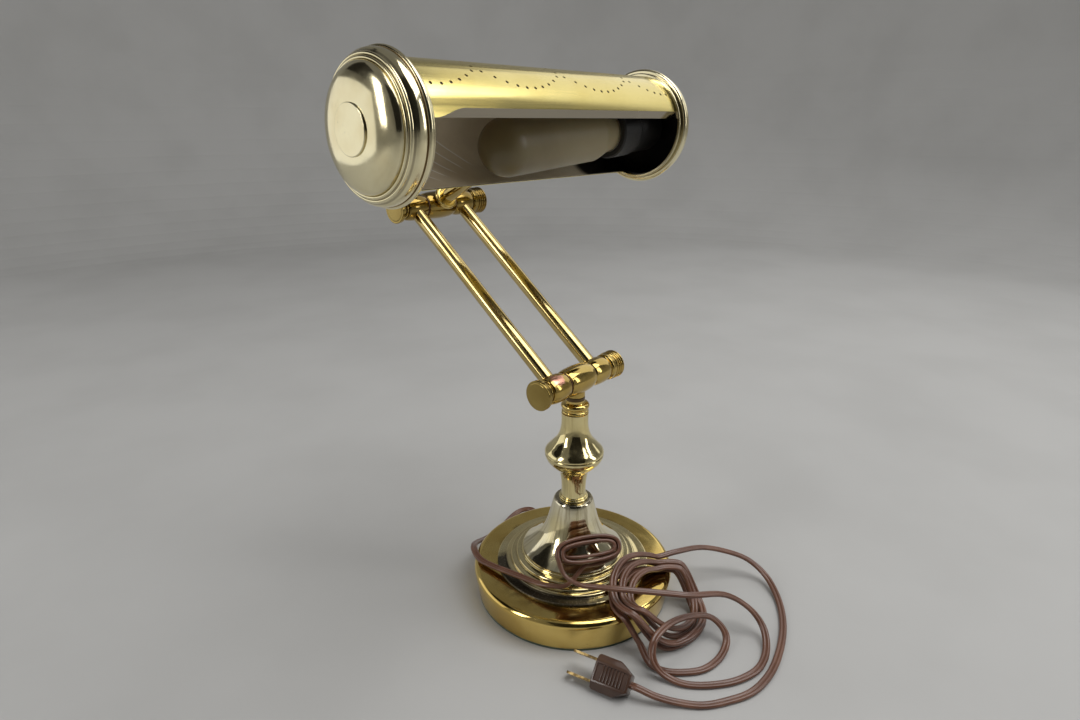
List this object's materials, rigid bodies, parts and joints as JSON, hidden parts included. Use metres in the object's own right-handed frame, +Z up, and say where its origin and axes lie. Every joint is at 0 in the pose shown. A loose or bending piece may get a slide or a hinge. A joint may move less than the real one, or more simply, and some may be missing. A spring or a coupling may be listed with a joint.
{
  "type": "desk lamp",
  "caption": "Brass desk lamp with a turned pedestal, a pair of tilting rods and a pierced tubular shade, with its cord and plug.",
  "frame": {"origin": "centre of the felt pad's underside, on the table", "axes": "+Z up, X along the shade with the disc knobs at -X, the rods lean back towards +Y and the shade's slot faces -Y"},
  "size_m": [0.2618, 0.2877, 0.3514],
  "materials": {
    "brass_yellow": "polished, a little tarnished",
    "brass_core": "turned",
    "brass_pale": "polished, pale",
    "brass_shade": "satin",
    "zinc_steel": "zinc plated",
    "screw_shell": "rolled thread",
    "iron": "rough cast",
    "felt": "felt",
    "black_fibre": "matt",
    "brown_fibre": "matt",
    "phenolic": "moulded",
    "frosted_glass": "frosted",
    "brown_vinyl": "soft sheen",
    "brown_rubber": "moulded",
    "blade_brass": "worn"
  },
  "bodies": {
    "base": {"base_shell": "brass_yellow", "felt_pad": "felt", "base_weight": "iron", "base_washer": "zinc_steel", "base_nut": "zinc_steel", "centre_pipe": "brass_core", "post_wire": "brown_vinyl", "cord_relief": "brown_rubber", "stepped_foot": "brass_pale", "pedestal_bell": "brass_pale", "neck_ring": "brass_pale", "waist_spool": "brass_pale", "vase": "brass_pale", "post_cap": "brass_yellow", "swivel_washer": "black_fibre", "cord_lead": "brown_vinyl", "cord_hank": "brown_vinyl", "cord_bridge": "brown_vinyl", "cord_tangle": "brown_vinyl", "cord_tail": "brown_vinyl", "plug_body": "brown_rubber", "plug_blades": "blade_brass"},
    "knuckle": {"swivel_stub": "brass_core", "lower_barrel": "brass_yellow", "lower_axle": "brass_core", "lower_fibre_rings": "brown_fibre", "lower_end_cap": "brass_yellow"},
    "arm": {"lower_collar_left": "brass_yellow", "lower_collar_right": "brass_yellow", "rod_left": "brass_yellow", "rod_right": "brass_yellow", "rod_wire": "brown_vinyl", "upper_collar_left": "brass_yellow", "upper_collar_right": "brass_yellow"},
    "shade": {"upper_barrel": "brass_yellow", "upper_axle": "brass_core", "upper_fibre_rings": "brown_fibre", "upper_end_cap": "brass_yellow", "shade_stem": "brass_yellow", "stem_wire": "brown_vinyl", "stem_ring": "brass_yellow", "stem_flange": "brass_yellow", "stem_nut": "zinc_steel", "shade_tube": "brass_shade", "shade_cap_left": "brass_pale", "shade_cap_right": "brass_pale", "cap_button_left": "brass_pale", "cap_button_right": "brass_pale", "lamp_socket": "phenolic", "bulb_base": "screw_shell", "bulb_glass": "frosted_glass", "socket_strap": "zinc_steel", "strap_screw": "zinc_steel", "strap_nut": "zinc_steel", "switch_body": "phenolic", "switch_nut": "brass_yellow"},
    "clamp_low": {"lower_knob": "brass_yellow"},
    "clamp_high": {"upper_knob": "brass_yellow"},
    "turn_switch": {"switch_knob": "brass_yellow"}
  },
  "joints": [
    {"name": "arm_swivel", "type": "hinge", "parent": "base", "child": "knuckle", "pos_m": [0, 0, 0.1478], "axis": [0, 0, 1], "range_deg": [-165, 165]},
    {"name": "arm_tilt", "type": "hinge", "parent": "knuckle", "child": "arm", "pos_m": [0, 0, 0.1589], "axis": [1, 0, 0], "range_deg": [-25, 65]},
    {"name": "shade_tilt", "type": "hinge", "parent": "arm", "child": "shade", "pos_m": [0, 0.13085, 0.2604], "axis": [1, 0, 0], "range_deg": [-60, 35]},
    {"name": "low_clamp_turn", "type": "hinge", "parent": "knuckle", "child": "clamp_low", "pos_m": [0, 0, 0.1589], "axis": [1, 0, 0], "continuous": true},
    {"name": "high_clamp_turn", "type": "hinge", "parent": "shade", "child": "clamp_high", "pos_m": [0, 0.13085, 0.2604], "axis": [1, 0, 0], "continuous": true},
    {"name": "switch_turn", "type": "hinge", "parent": "shade", "child": "turn_switch", "pos_m": [0.078, 0.03401, 0.31341], "axis": [0, 1, 0], "continuous": true}
  ]
}
